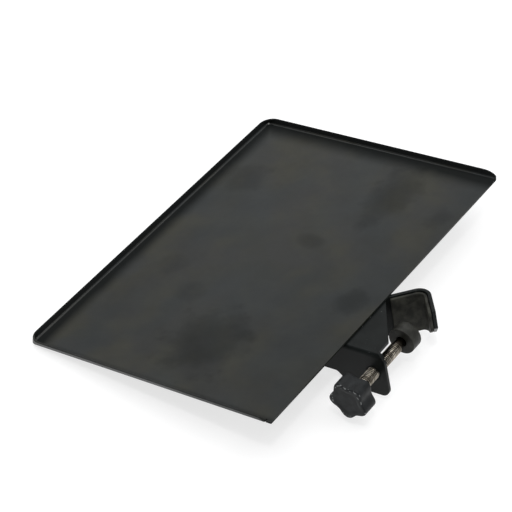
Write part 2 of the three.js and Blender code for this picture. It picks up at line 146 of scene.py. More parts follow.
class Shader:
    """The node tree of one material, with its Principled surface."""

    def __init__(self, name: str) -> None:
        """Starts an empty material that has a Principled surface."""
        self.material = bpy.data.materials.new(name)
        self.material.use_nodes = True
        self.tree = self.material.node_tree
        self.tree.nodes.clear()
        self.surface = self.tree.nodes.new("ShaderNodeBsdfPrincipled")
        output = self.tree.nodes.new("ShaderNodeOutputMaterial")
        self.tree.links.new(self.surface.outputs[0], output.inputs["Surface"])
        self._place: bpy.types.NodeSocket | None = None

    def feed(self, socket: bpy.types.NodeSocket, value: object) -> None:
        """Links a Value or a socket to an input, or sets a constant on it."""
        if isinstance(value, Value):
            self.tree.links.new(value.socket, socket)
        elif isinstance(value, bpy.types.NodeSocket):
            self.tree.links.new(value, socket)
        else:
            socket.default_value = value

    def node(
        self, kind: str, settings: dict | None = None, inputs: dict | None = None,
        output: int | str = 0,
    ) -> Value:
        """Adds a node.

        Args:
            kind: the node's type.
            settings: its properties, set before its sockets.
            inputs: input names or numbers, and a value or a link for each.
            output: the output to return.

        Returns:
            The output asked for.
        """
        made = self.tree.nodes.new(kind)
        for name, value in (settings or {}).items():
            setattr(made, name, value)
        for key, value in (inputs or {}).items():
            self.feed(made.inputs[key], value)
        return Value(self, made.outputs[output])

    @property
    def place(self) -> bpy.types.NodeSocket:
        """The point of the surface in the object's own coordinates, in metres."""
        if self._place is None:
            self._place = self.node("ShaderNodeTexCoord", output="Object").socket
        return self._place

    def axis(self, name: str) -> Value:
        """One coordinate of the surface point, "X", "Y" or "Z", in millimetres."""
        apart = self.node("ShaderNodeSeparateXYZ", inputs={0: self.place}, output=name)
        return apart * (1 / MM)

    def noise(self, grain: float, detail: float = 2.0, stretch: tuple = (1, 1, 1)) -> Value:
        """Soft noise from 0 to 1.

        Args:
            grain: the size of its patches in millimetres.
            detail: how many finer layers it has.
            stretch: how closely it repeats along each axis.

        Returns:
            The noise.
        """
        point = self.node(
            "ShaderNodeMapping", inputs={"Vector": self.place, "Scale": stretch},
        )
        return self.node(
            "ShaderNodeTexNoise",
            inputs={"Vector": point, "Scale": 1 / (grain * MM), "Detail": detail},
        )

    def blend(self, factor: object, first: object, second: object) -> Value:
        """A colour that goes from first to second as factor goes from 0 to 1."""
        made = self.tree.nodes.new("ShaderNodeMix")
        made.data_type = "RGBA"
        self.feed(made.inputs["Factor"], factor)
        for socket, colour in zip((made.inputs[6], made.inputs[7]), (first, second)):
            self.feed(socket, (*colour, 1.0) if isinstance(colour, tuple) else colour)
        return Value(self, made.outputs[2])

    def bump(self, height: Value, depth: float, under: Value | None = None) -> Value:
        """Relief on the surface.

        Args:
            height: the relief, from 0 to 1.
            depth: how high 1 stands, in millimetres.
            under: relief that this one lies on.

        Returns:
            The bent normal.
        """
        inputs = {"Height": height, "Distance": depth * MM, "Strength": 1.0}
        if under is not None:
            inputs["Normal"] = under
        return self.node("ShaderNodeBump", inputs=inputs)

    def set(self, **inputs: object) -> None:
        """Feeds the Principled surface; underscores in the names stand for spaces."""
        for name, value in inputs.items():
            self.feed(self.surface.inputs[name.replace("_", " ")], value)

    def shade_and_smudge_mix(self, factor: Value, colour: tuple, normal: Value) -> None:
        """Mixes in a second, darker matt surface, fully where factor is 1; here it carries painted
        shade as well as smudges and mottle.
        """
        first = self.surface.outputs[0]
        end = next(node for node in self.tree.nodes if node.type == "OUTPUT_MATERIAL")
        matt = self.node(
            "ShaderNodeBsdfPrincipled",
            inputs={
                "Base Color": (*colour, 1.0), "Roughness": 0.7, "Specular IOR Level": 0.06,
                "Normal": normal,
            },
        )
        mix = self.node("ShaderNodeMixShader", inputs={0: factor, 1: first, 2: matt})
        self.tree.links.new(mix.socket, end.inputs["Surface"])


# ---- finishes -------------------------------------------------------------------------------


@dataclass(frozen=True)
class Smudge:
    """A rubbed patch on the coating: its middle, its half sizes and how dark it is."""

    x: float
    y: float
    half_x: float
    half_y: float
    dark: float


@dataclass(frozen=True)
class PowderCoat:
    """Satin black powder coat with a fine peel and handling marks.

    Attributes:
        colour: colour of the coating.
        warm: colour it drifts to in patches.
        cool: colour it drifts to in other patches.
        dark: colour of the darker matt surface mixed in as painted shade, painted reflection and a
            painted slope, which also carries the smudges and the mottle.
        half_size: half width and half length of its flat floor.
        band: width of the band of painted shade beside the lips, which paints their reflection in
            the floor.
        painted_highlight_spots: spots in the corner bends painted near white, painted highlights
            of the lamp.
        peel: size of the fine peel in millimetres.
        roughness: roughness of clean coating.
        smudges: rubbed patches.
    """

    colour: tuple = (0.0150, 0.0160, 0.0145)
    warm: tuple = (0.0220, 0.0216, 0.0135)
    cool: tuple = (0.0115, 0.0160, 0.0180)
    dark: tuple = (0.0064, 0.0074, 0.0073)
    half_size: tuple = (90.0, 129.0)
    band: float = 17.0
    painted_highlight_spots: tuple = ((-91.2, 129.6), (-90.4, 130.9), (-91.6, -130.4))
    peel: float = 0.55
    roughness: float = 0.41
    smudges: tuple = (
        Smudge(11, -85, 30, 34, 0.32), Smudge(38, 88, 18, 36, 0.25),
        Smudge(-68, 68, 16, 20, 0.22), Smudge(14, 27, 13, 8, 0.20),
        Smudge(-28, -48, 14, 11, 0.14), Smudge(-58, -30, 12, 15, 0.14),
        Smudge(74, -17, 14, 14, 0.20), Smudge(80, 78, 9, 14, 0.16),
    )

    def rubbed(self, shader: Shader, across: Value, along: Value) -> Value:
        """How dark the smudges make each point, from 0 to 1.

        A smudge's strength falls smoothly with ((x - x0) / a)^2 + ((y - y0) / b)^2, which a
        ragged noise stretches.

        Args:
            shader: the material's nodes.
            across: x of the point in millimetres.
            along: y of the point in millimetres.

        Returns:
            The strength.
        """
        ragged = shader.noise(15, 6) * 2.9 - 0.45
        total = None
        for mark in self.smudges:
            u = (across - mark.x) / mark.half_x
            v = (along - mark.y) / mark.half_y
            strength = (1 - (u * u + v * v) * ragged).step(-0.1, 1.0) * mark.dark
            total = strength if total is None else total.largest(strength)
        return total

    def painted_lip_shade(self, across: Value, along: Value, level: Value) -> Value:
        """How much painted shade lies beside and on the lips, from 0 to 1.

        Args:
            across: x of the point in millimetres.
            along: y of the point in millimetres.
            level: z of the point in millimetres.

        Returns:
            The strength of the painted shade.
        """
        half_x, half_y = self.half_size
        # Painted reflection of the dark lips in the floor beside the left and back lips, and
        # painted shade along the inside of the front lip.
        left = 1 - (across + half_x).step(0.0, self.band * 0.72)
        back = 1 - (half_y - along).step(0.0, self.band)
        front = (1 - (along + half_y).step(0.0, 4.0)) * 0.35
        beside = left.largest(back).largest(front)
        # Painted shade on the bend lines, which dims their highlight, and on the inner faces of
        # the back and left lips.
        bend = level.step(0.02, 0.30)
        lip = level.step(0.9, 1.5) * (along + half_y).step(-2.0, 6.0)
        return beside * 0.90 * (1 - bend) + bend * 0.34 + lip * 0.60

    def material(self) -> bpy.types.Material:
        """Builds the material."""
        shader = Shader("powder_coat")
        across, along, level = shader.axis("X"), shader.axis("Y"), shader.axis("Z")
        drift = shader.noise(34, 3).step(0.38, 0.66)
        shade = shader.noise(48, 2, (1.0, 0.7, 1.0)).step(0.4, 0.62)
        colour = shader.blend(drift, self.colour, self.warm)
        colour = shader.blend(shade * 0.6, colour, self.cool)
        speck = shader.noise(0.9, 1).step(0.80, 0.86)
        colour = shader.blend(speck * 0.5, colour, (0.12, 0.12, 0.115))
        # Painted highlight: near-white spots in the bends at the left corners, where the lamp's
        # glint falls.
        for x, y in self.painted_highlight_spots:
            u, v = across - x, along - y
            highlight_spot = 1 - (u * u + v * v).step(0.25, 1.1)
            colour = shader.blend(highlight_spot * level.step(0.0, 0.3), colour, (0.75, 0.75, 0.73))
        rubbed = self.rubbed(shader, across, along)
        roughness = shader.noise(9, 4) * 0.07 + (self.roughness - 0.035) + rubbed * 0.15
        normal = shader.bump(shader.noise(self.peel, 2), 0.016)
        normal = shader.bump(shader.noise(5.5, 1), 0.010, normal)
        shader.set(Base_Color=colour, Roughness=roughness, Normal=normal)
        shader.set(Specular_IOR_Level=0.34)
        shader.set(Coat_Weight=level.step(0.03, 0.3) * 0.7, Coat_Roughness=0.12)
        mottle = shader.noise(26, 3).step(0.30, 0.72) * 0.11 + shader.noise(4.5, 3) * 0.07
        # Painted shade: the floor is painted darker towards the right and the front and lighter
        # towards the back left, where the light falls.
        slope = (across * 0.335 - along * 0.858).step(-140, 150) * 0.15
        slope = slope + across.step(-30, 120) * 0.20
        # The darker matt surface carries the painted lip shade and the painted slope, and also the
        # random mottle and the smudges.
        shade_and_smudge_mix = self.painted_lip_shade(across, along, level) + mottle + slope + rubbed - 0.03
        shader.shade_and_smudge_mix(shade_and_smudge_mix.largest(0.0).smallest(0.95), self.dark, normal)
        return shader.material


@dataclass(frozen=True)
class BracketPaint:
    """Semi-gloss black paint on the clamp's bent steel."""

    colour: tuple = (0.0040, 0.0052, 0.0050)
    edge: tuple = (0.0080, 0.0098, 0.0095)
    roughness: float = 0.34

    def material(self) -> bpy.types.Material:
        """Builds the material."""
        shader = Shader("bracket_paint")
        drift = shader.noise(11, 3).step(0.35, 0.7)
        colour = shader.blend(drift * 0.6, self.colour, self.edge)
        speck = shader.noise(0.8, 1).step(0.77, 0.81)
        colour = shader.blend(speck * 0.8, colour, (0.30, 0.31, 0.30))
        roughness = shader.noise(3.5, 4) * 0.16 + (self.roughness - 0.08)
        normal = shader.bump(shader.noise(0.5, 2), 0.014)
        normal = shader.bump(shader.noise(3.0, 2), 0.012, normal)
        shader.set(Base_Color=colour, Roughness=roughness, Normal=normal)
        shader.set(Specular_IOR_Level=0.11)
        return shader.material


@dataclass(frozen=True)
class LinerRubber:
    """Dull grey-olive rubber with a faint moulded grain."""

    colour: tuple = (0.0095, 0.0095, 0.0074)
    worn: tuple = (0.034, 0.034, 0.027)
    roughness: float = 0.62

    def material(self) -> bpy.types.Material:
        """Builds the material."""
        shader = Shader("liner_rubber")
        patches = shader.noise(6, 4).step(0.35, 0.7)
        colour = shader.blend(patches, self.colour, self.worn)
        roughness = shader.noise(2.2, 3) * 0.2 + (self.roughness - 0.1)
        normal = shader.bump(shader.noise(0.35, 3), 0.02)
        normal = shader.bump(shader.noise(4.5, 2), 0.03, normal)
        shader.set(Base_Color=colour, Roughness=roughness, Normal=normal)
        shader.set(Specular_IOR_Level=0.18)
        return shader.material


@dataclass(frozen=True)
class PlatedSteel:
    """Plated steel, a little yellow, with painted shade in the thread's roots and on the plain
    end.

    Attributes:
        axis: x and z of the screw's axis in millimetres.
        root: radius below which the steel is painted dark as shade.
        crest: radius beyond which the metal shows with no painted shade.
    """

    axis: tuple
    root: float = 3.55
    crest: float = 3.86
    colour: tuple = (0.58, 0.54, 0.46)
    painted_root_shade: tuple = (0.022, 0.018, 0.014)
    roughness: float = 0.24

    def material(self) -> bpy.types.Material:
        """Builds the material; the painted shade gives way to the metal with the distance from the
        axis, squared.
        """
        shader = Shader("plated_steel")
        out = shader.axis("X") - self.axis[0]
        up = shader.axis("Z") - self.axis[1]
        # Painted shade: the steel below the root radius, in the thread's roots and on the plain
        # end and neck, is painted nearly black.
        past_root_shade = (out * out + up * up).step(self.root ** 2, self.crest ** 2)
        dirt = shader.noise(4.0, 3).step(0.35, 0.75)
        bands = shader.noise(1.5, 1, (0.10, 1.0, 0.10)).step(0.42, 0.60)
        metal = shader.blend(dirt * 0.45, self.colour, (0.20, 0.165, 0.125))
        metal = shader.blend(bands * 0.75, metal, (0.10, 0.085, 0.065))
        colour = shader.blend(past_root_shade, self.painted_root_shade, metal)
        roughness = shader.noise(1.5, 3) * 0.10 + (self.roughness - 0.04)
        normal = shader.bump(shader.noise(0.25, 2), 0.002)
        shader.set(Base_Color=colour, Roughness=roughness, Normal=normal, Metallic=1.0)
        return shader.material


@dataclass(frozen=True)
class MouldedPlastic:
    """Moulded plastic with a fine spark grain.

    Attributes:
        name: name of the material.
        colour: its colour.
        pale: colour of rubbed patches.
        roughness: its roughness.
        grain: size of the moulded grain in millimetres.
        glint_flecks_before: pale flecks painted as glints lie on its front edge up to this Y, in
            millimetres.
        glint_flecks_beyond: those flecks lie beyond this radius from the axis.
        axis: x and z of that axis.
    """

    name: str
    colour: tuple
    pale: tuple
    roughness: float = 0.46
    grain: float = 0.35
    glint_flecks_before: float = NOWHERE
    glint_flecks_beyond: float = 9.8
    axis: tuple = (109.5, -17.2)

    def material(self) -> bpy.types.Material:
        """Builds the material."""
        shader = Shader(self.name)
        patches = shader.noise(4.5, 4).step(0.4, 0.72)
        colour = shader.blend(patches * 0.8, self.colour, self.pale)
        out, up = shader.axis("X") - self.axis[0], shader.axis("Z") - self.axis[1]
        # Painted highlight: pale flecks on the knob's front rim stand for the glints of its
        # rounded edge.
        rim = (out * out + up * up).step(self.glint_flecks_beyond ** 2, (self.glint_flecks_beyond + 0.6) ** 2)
        rim = rim * (1 - shader.axis("Y").step(self.glint_flecks_before - 0.5, self.glint_flecks_before))
        painted_glint_flecks = rim * shader.noise(1.6, 3).step(0.56, 0.66)
        colour = shader.blend(painted_glint_flecks * 0.8, colour, (0.22, 0.23, 0.23))
        roughness = shader.noise(2.0, 3) * 0.14 + (self.roughness - 0.07)
        normal = shader.bump(shader.noise(self.grain, 2), 0.022)
        shader.set(Base_Color=colour, Roughness=roughness, Normal=normal)
        shader.set(Specular_IOR_Level=0.17)
        return shader.material


KNOB_PLASTIC = MouldedPlastic(
    "knob_plastic", (0.0055, 0.0064, 0.0070), (0.0135, 0.0155, 0.0165), glint_flecks_before=-80.2,
)
PAD_PLASTIC = MouldedPlastic("pad_plastic", (0.0150, 0.0150, 0.0125), (0.0330, 0.0330, 0.0280))


# ---- surfaces -------------------------------------------------------------------------------


def smooth(x: np.ndarray) -> np.ndarray:
    """3x^2 - 2x^3 of x held between 0 and 1."""
    held = np.clip(x, 0.0, 1.0)
    return held * held * (3 - 2 * held)


def grid_faces(rows: int, columns: int, closed: bool) -> np.ndarray:
    """Quads of a grid of points numbered row by row.

    Args:
        rows: number of rows.
        columns: points in each row.
        closed: whether each row's last point joins its first.

    Returns:
        An array of four point numbers for each quad.
    """
    row = np.arange(rows - 1)[:, None] * columns
    here = np.arange(columns if closed else columns - 1)[None, :]
    there = (here + 1) % columns
    quads = [row + here, row + there, row + columns + there, row + columns + here]
    return np.stack([np.broadcast_to(q, (rows - 1, here.size)) for q in quads], -1).reshape(-1, 4)


def make_piece(
    name: str, points: np.ndarray, faces: list, sharp: float = 40.0,
) -> bpy.types.Object:
    """Puts points and faces into a new object at the origin.

    Args:
        name: the piece's name.
        points: an array of points in millimetres.
        faces: lists of point numbers.
        sharp: edges bent more than this many degrees stay sharp.

    Returns:
        The object.
    """
    mesh = bpy.data.meshes.new(name)
    mesh.from_pydata((points * MM).tolist(), [], faces)
    mesh.validate(clean_customdata=False)
    mesh.polygons.foreach_set("use_smooth", np.ones(len(mesh.polygons), bool))
    mesh.set_sharp_from_angle(angle=math.radians(sharp))
    mesh.update()
    made = bpy.data.objects.new(name, mesh)
    bpy.context.scene.collection.objects.link(made)
    return made


def loops_to_piece(name: str, loops: np.ndarray, sharp: float = 40.0) -> bpy.types.Object:
    """Closed loops joined one to the next, with a flat face on the first and the last.

    Args:
        name: the piece's name.
        loops: points as loop, place on the loop, coordinate.
        sharp: edges bent more than this many degrees stay sharp.

    Returns:
        The object, whose faces point outwards.
    """
    count, size, _ = loops.shape
    faces = grid_faces(count, size, True)
    first = np.arange(size)[::-1]
    last = np.arange(size) + (count - 1) * size
    points = loops.reshape(-1, 3)
    rows = [*faces.tolist(), first.tolist(), last.tolist()]
    if enclosed_volume(points, rows) < 0:
        rows = [row[::-1] for row in rows]
    return make_piece(name, points, rows, sharp)


def enclosed_volume(points: np.ndarray, faces: list) -> float:
    """Volume inside closed faces, as the sum of the tetrahedra from the origin; below 0 if
    the faces point inwards."""
    total = 0.0
    by_size: dict = {}
    for face in faces:
        by_size.setdefault(len(face), []).append(face)
    for size, same in by_size.items():
        corners = points[np.array(same)]
        for k in range(1, size - 1):
            wedge = np.cross(corners[:, k], corners[:, k + 1])
            total += float(np.einsum("ij,ij->", corners[:, 0], wedge))
    return total / 6


def fillet(corners: list, steps: int = 6) -> np.ndarray:
    """A flat closed outline with rounded corners.

    Each corner of radius r is replaced by an arc that touches both its sides, r / tan(half the
    corner's angle) away from the corner.

    Args:
        corners: (u, v) or (u, v, radius) in order.
        steps: pieces in each arc.

    Returns:
        The outline's points.
    """
    places = np.array([corner[:2] for corner in corners], float)
    made = []
    for index, corner in enumerate(corners):
        radius = corner[2] if len(corner) > 2 else 0.0
        here = places[index]
        if radius <= 0:
            made.append(here[None])
            continue
        back = places[index - 1] - here
        forth = places[(index + 1) % len(places)] - here
        back, forth = back / np.linalg.norm(back), forth / np.linalg.norm(forth)
        half = math.acos(np.clip(back @ forth, -1, 1)) / 2
        middle = (back + forth) / np.linalg.norm(back + forth)
        centre = here + middle * radius / math.sin(half)
        start = here + back * radius / math.tan(half) - centre
        end = here + forth * radius / math.tan(half) - centre
        first, last = math.atan2(start[1], start[0]), math.atan2(end[1], end[0])
        turn = (last - first + math.pi) % (2 * math.pi) - math.pi
        angle = first + turn * np.linspace(0, 1, steps + 1)
        made.append(centre + radius * np.stack([np.cos(angle), np.sin(angle)], -1))
    return np.concatenate(made)


@dataclass
class ScrewAxis:
    """The line that the screw, the pad, the knob and the bush share, along Y."""

    x: float
    z: float

    def turned(self, name: str, profile: np.ndarray, steps: int = 96, sharp: float = 40.0,
               radius_wave: np.ndarray | None = None) -> bpy.types.Object:
        """A closed (radius, y) profile turned about the axis.

        The point at angle t is (x + r cos t, y, z + r sin t).

        Args:
            name: the piece's name.
            profile: the outline, as points of (radius, y).
            steps: pieces round the axis.
            sharp: edges bent more than this many degrees stay sharp.
            radius_wave: what is added to the outer radius at each angle.

        Returns:
            The object. A profile that touches the axis is closed there.
        """
        angle = np.linspace(0, 2 * math.pi, steps, endpoint=False)
        radius = profile[:, 0][None, :] * np.ones((steps, 1))
        if radius_wave is not None:
            reach = smooth((radius - profile[:, 0].max() * 0.45) / (profile[:, 0].max() * 0.5))
            radius = radius + radius_wave[:, None] * reach
        points = np.stack([
            self.x + radius * np.cos(angle)[:, None],
            np.broadcast_to(profile[:, 1][None, :], radius.shape),
            self.z + radius * np.sin(angle)[:, None],
        ], -1)
        on_axis = profile[:, 0] < 1e-6
        number = np.arange(points[..., 0].size).reshape(radius.shape)
        number[:, on_axis] = number[0, on_axis]
        size = profile.shape[0]
        quads = []
        for k in range(size):
            after = (k + 1) % size
            if on_axis[k] and on_axis[after]:
                continue
            ring = np.stack([
                number[:, k], number[:, after],
                np.roll(number[:, after], -1), np.roll(number[:, k], -1),
            ], -1)
            if on_axis[k]:
                ring = ring[:, [0, 1, 2]]
            elif on_axis[after]:
                ring = ring[:, [0, 1, 3]]
            quads += ring.tolist()
        flat = points.reshape(-1, 3)
        used = np.unique(np.concatenate([np.array(q) for q in quads]))
        renumber = np.zeros(len(flat), int)
        renumber[used] = np.arange(len(used))
        quads = [renumber[q].tolist() for q in quads]
        flat = flat[used]
        if enclosed_volume(flat, quads) < 0:
            quads = [q[::-1] for q in quads]
        return make_piece(name, flat, quads, sharp)


def dress(piece: bpy.types.Object, finish: object, body: Body, slot: Slot, *nodes: str) -> None:
    """Gives a piece its material, puts it on its body and hides the nodes that it stands for."""
    piece.data.materials.clear()
    piece.data.materials.append(finish.material())
    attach(piece, body.value)
    if nodes:
        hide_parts(*nodes)


def corners_of(node: bpy.types.Object) -> np.ndarray:
    """The vertices of a node's mesh in metres."""
    flat = np.empty(len(node.data.vertices) * 3, np.float32)
    node.data.vertices.foreach_get("co", flat)
    return flat.reshape(-1, 3).astype(float)


def low_high(node: str) -> tuple[np.ndarray, np.ndarray]:
    """The corners of a node's box in millimetres."""
    low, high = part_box(node)
    return np.array(low) / MM, np.array(high) / MM


# ---- board ----------------------------------------------------------------------------------


@dataclass
class PathGuide:
    """Places round the board, as arrays of equal length."""

    start_x: np.ndarray
    start_y: np.ndarray
    share: np.ndarray
    facing: np.ndarray
    side: np.ndarray


@dataclass
class BoardPan:
    """The pressed sheet: a flat floor with a lip on three sides.

    Attributes:
        length: working surface along Y.
        width: working surface along X.
        sheet: thickness.
        lip: top of the lip above the floor.
        bend: degrees that the lip is bent up.
        bend_radius: inside radius of that bend.
        corner: radius of the closed corners seen from above, at the rim.
        floor_corner: the same at the floor, where the bend lines nearly meet.
        back_run: length over which the back lip comes down to the open edge.
        front_run: the same on the front lip.
        tab: flat tab at the front of the open edge.
        slit: gap between the front lip and that tab.
        least: share of the lip that stands where a run-out ends.
        in_slit: the same in the slit; below 0, so it cuts in past the start of the bend.
        on_tab: the same on the tab.
        across: points on the section from the start of the bend to the rim.
    """

    length: float = 260
    width: float = 183
    sheet: float = 1.2
    lip: float = 4.1
    bend: float = 70
    bend_radius: float = 1.6
    corner: float = 7.5
    floor_corner: float = 2.2
    back_run: float = 10.5
    front_run: float = 3.0
    tab: float = 3.4
    slit: float = 0.9
    least: float = 0.10
    in_slit: float = -0.12
    on_tab: float = 0.16
    across: int = 12
    finish: PowderCoat = field(default_factory=PowderCoat)

    @property
    def open_edge(self) -> float:
        """X of the open edge."""
        return self.width / 2

    @property
    def slit_start(self) -> float:
        """X where the front lip ends and the slit starts."""
        return self.open_edge - self.tab - self.slit

    @property
    def tangent_out(self) -> float:
        """How far out the bend starts; below 0 because it starts inside the outline."""
        return -self.bend_radius * math.tan(math.radians(self.bend) / 2)

    def path(self) -> "PathGuide":
        """The way from the front of the open edge round the closed sides to its back.

        Returns:
            For each place on it: where a straight side starts, how far along that side it is,
            which way the side faces, and the corner that the side runs to.
        """
        half, left = self.length / 2, -self.width / 2
        tab_start, slit_start = self.open_edge - self.tab, self.slit_start
        step = 0.06
        turn = np.linspace(0, math.pi / 2, 26)
        front_x = np.concatenate([
            np.linspace(self.open_edge, tab_start, 12),
            [tab_start - step, slit_start + step],
            np.linspace(slit_start, slit_start - self.front_run, 14),
        ])
        back_x = self.open_edge - self.back_run * np.cos(turn)
        to_corner = np.linspace(0, 1, 60)[1:]
        away = to_corner[::-1]
        stay = np.zeros(len(front_x))
        rows = [
            (front_x, -half, stay, 1.5 * math.pi, -1),
            (front_x[-1], -half, to_corner, 1.5 * math.pi, -1),
            (0.0, -half, np.ones(24), 1.5 * math.pi - turn[1:-1], -1),
            (left, 0.0, away, math.pi, -1), (left, 0.0, to_corner - to_corner[0], math.pi, 1),
            (0.0, half, np.ones(24), math.pi - turn[1:-1], 1),
            (back_x[0], half, away, math.pi / 2, 1), (back_x, half, np.zeros(26), math.pi / 2, 1),
        ]
        parts = [
            np.stack(np.broadcast_arrays(x, y, share, facing, side), -1).astype(float)
            for x, y, share, facing, side in rows
        ]
        guide = np.concatenate(parts)
        return PathGuide(*guide.T)

    def ring(self, guide: "PathGuide", out: np.ndarray, radius: np.ndarray) -> np.ndarray:
        """Points of rounded rectangles, seen from above, each `out` beyond the outline.

        A corner of radius r is centred r inside both of its sides. On it the point is that
        centre plus r times the way the place faces. On a straight side the point lies between
        the side's start and the corner's end.

        Args:
            guide: the places round the board.
            out: distance beyond the outline, for each place and ring.
            radius: corner radius of each ring.

        Returns:
            x and y for each place and ring.
        """
        facing = np.stack([np.cos(guide.facing), np.sin(guide.facing)], -1)[:, None, :]
        corner_x = -self.width / 2 - out + radius
        corner_y = guide.side[:, None] * (self.length / 2 + out - radius)
        corner = np.stack([corner_x, corner_y], -1) + radius[..., None] * facing
        start = np.stack([guide.start_x, guide.start_y], -1)[:, None, :] + out[..., None] * facing
        share = guide.share[:, None, None]
        return start * (1 - share) + corner * share

    def reach(self, guide: "PathGuide") -> np.ndarray:
        """How much of the full lip stands at each place, from 0 to 1.

        Each run-out is a quarter ellipse in the distance to its end.
        """
        fixed = guide.share == 0
        x, y = np.where(fixed, guide.start_x, 0), guide.start_y
        slit_start, near = self.slit_start, 0.01
        back = np.clip((x - (self.open_edge - self.back_run)) / self.back_run, 0, 1)
        front = np.clip((x - (slit_start - self.front_run)) / self.front_run, 0, 1)
        run = np.where(y > 0, back, front)
        part = self.least + (1 - self.least) * np.sqrt(np.maximum(1 - run ** 2, 0))
        tab_start = slit_start + self.slit - near
        slit = (y < 0) & (x > slit_start + near) & (x < tab_start)
        tab = (y < 0) & (x >= tab_start)
        return np.where(slit, self.in_slit, np.where(tab, self.on_tab, part))

    def section(self, along: np.ndarray) -> tuple[np.ndarray, np.ndarray, np.ndarray]:
        """The inner face's line and its direction, `along` it from the start of the bend.

        It is an arc of the bend radius as far as the bend's angle and straight after it; before
        the start of the bend it is the flat floor.

        Returns:
            Distance out, height, and the angle that the line has turned by.
        """
        bend = math.radians(self.bend)
        turned = np.clip(along / self.bend_radius, 0, bend)
        past = np.maximum(along - self.bend_radius * bend, 0) + np.minimum(along, 0)
        out = self.tangent_out + self.bend_radius * np.sin(turned) + past * np.cos(turned)
        rise = self.bend_radius * (1 - np.cos(turned)) + past * np.sin(turned)
        return out, rise, turned

    def full_length(self) -> float:
        """Length of the section from the start of the bend to the middle of its round rim."""
        bend, middle = math.radians(self.bend), self.sheet / 2
        arc_rise = self.bend_radius * (1 - math.cos(bend))
        rise = (self.lip - middle + middle * math.cos(bend) - arc_rise) / math.sin(bend)
        return self.bend_radius * bend + rise

    def skin(self, guide: "PathGuide") -> np.ndarray:
        """The lip's faces: up the inner one, round the rim and down the outer one.

        The outer face lies one sheet thickness from the inner one, square to it, and the rim
        is the half circle between them. The corners open from the floor's radius to the rim's
        with the height.

        Args:
            guide: the places round the board.

        Returns:
            x, y and z for each place and each point on its section.
        """
        ends = (self.reach(guide) * self.full_length())[:, None]
        share = np.linspace(0, 1, self.across)[None, :] ** 0.9
        out, rise, turned = self.section(ends * share)
        under_out = out + self.sheet * np.sin(turned)
        under_rise = rise - self.sheet * np.cos(turned)
        half_turn = np.linspace(0, math.pi, 9)[1:-1][None, :]
        middle = self.sheet / 2
        back, forth = middle * np.cos(half_turn), middle * np.sin(half_turn)
        sine, cosine = np.sin(turned[:, -1:]), np.cos(turned[:, -1:])
        rim_out = (out[:, -1:] + under_out[:, -1:]) / 2 - back * sine + forth * cosine
        rim_rise = (rise[:, -1:] + under_rise[:, -1:]) / 2 + back * cosine + forth * sine
        section_out = np.concatenate([out, rim_out, under_out[:, ::-1]], 1)
        section_rise = np.concatenate([rise, rim_rise, under_rise[:, ::-1]], 1)
        level = np.clip(section_rise / self.lip, 0, 1)
        opened = self.floor_corner + (self.corner - self.floor_corner) * smooth(level)
        leaning = np.maximum(section_out - self.tangent_out, 0)
        seen_from_above = self.ring(guide, section_out, opened + leaning * 0.5)
        return np.concatenate([seen_from_above, section_rise[..., None]], -1)

    def build(self) -> bpy.types.Object:
        """The sheet as one closed skin.

        Each place carries a section: from the middle of the open edge over the floor, round
        the lip and back below the floor. The sections meet in one point above and one below,
        at the middle of the open edge.
        """
        skin = self.skin(self.path())
        inner, under = skin[:, :1], skin[:, -1:]
        centre = np.array([self.open_edge, 0.0])
        spread = np.array([0.02, 0.12, 0.35, 0.65, 0.88])[None, :, None]
        floor_xy = centre + (inner[..., :2] - centre) * spread
        top = np.concatenate([floor_xy, np.zeros_like(floor_xy[..., :1])], -1)
        below_xy = centre + (under[..., :2] - centre) * spread[:, ::-1]
        below = np.concatenate([below_xy, np.full_like(below_xy[..., :1], -self.sheet)], -1)
        rows = np.concatenate([top, skin, below], 1)
        count, size, _ = rows.shape
        points = np.concatenate([
            rows.reshape(-1, 3), [[*centre, 0.0], [*centre, -self.sheet]],
        ])
        above, beneath = count * size, count * size + 1
        faces = grid_faces(count, size, False).tolist()
        start = np.arange(count - 1) * size
        faces += np.stack([np.full(count - 1, above), start, start + size], -1)[:, ::-1].tolist()
        last = start + size - 1
        faces += np.stack([np.full(count - 1, beneath), last + size, last], -1)[:, ::-1].tolist()
        faces.append([above, *range(size), beneath])
        faces.append([above, *range((count - 1) * size, count * size), beneath][::-1])
        if enclosed_volume(points, faces) < 0:
            faces = [face[::-1] for face in faces]
        made = make_piece("pressed_board", points, faces, 50)
        dress(made, self.finish, Body.BOARD, Slot.BOARD_COATING, "board_pan")
        return made


# ---- clamp bracket --------------------------------------------------------------------------


@dataclass
class ClampBracket:
    """The bent plate that carries the screw, with its sheared edges broken."""

    edge: float = 0.35
    finish: BracketPaint = field(default_factory=BracketPaint)

    def build(self) -> bpy.types.Object:
        """A merged copy of the CAD plate with small rounds on its edges."""
        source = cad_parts["clamp_bracket"]
        mesh = source.data.copy()
        mesh.name = "bent_bracket"
        mesh.materials.clear()
        work = bmesh.new()
        work.from_mesh(mesh)
        bmesh.ops.remove_doubles(work, verts=work.verts, dist=1e-6)
        bmesh.ops.dissolve_limit(
            work, angle_limit=math.radians(0.5), verts=work.verts, edges=work.edges,
        )
        work.to_mesh(mesh)
        work.free()
        made = bpy.data.objects.new("bent_bracket", mesh)
        bpy.context.scene.collection.objects.link(made)
        mesh.polygons.foreach_set("use_smooth", np.ones(len(mesh.polygons), bool))
        mesh.set_sharp_from_angle(angle=math.radians(35))
        rounds = made.modifiers.new("broken_edges", "BEVEL")
        rounds.width = self.edge * MM
        rounds.segments = 3
        rounds.limit_method = "ANGLE"
        rounds.angle_limit = math.radians(50)
        rounds.harden_normals = True
        dress(made, self.finish, Body.BOARD, Slot.BRACKET_PAINT, "clamp_bracket")
        return made


# ---- jaw and liner --------------------------------------------------------------------------


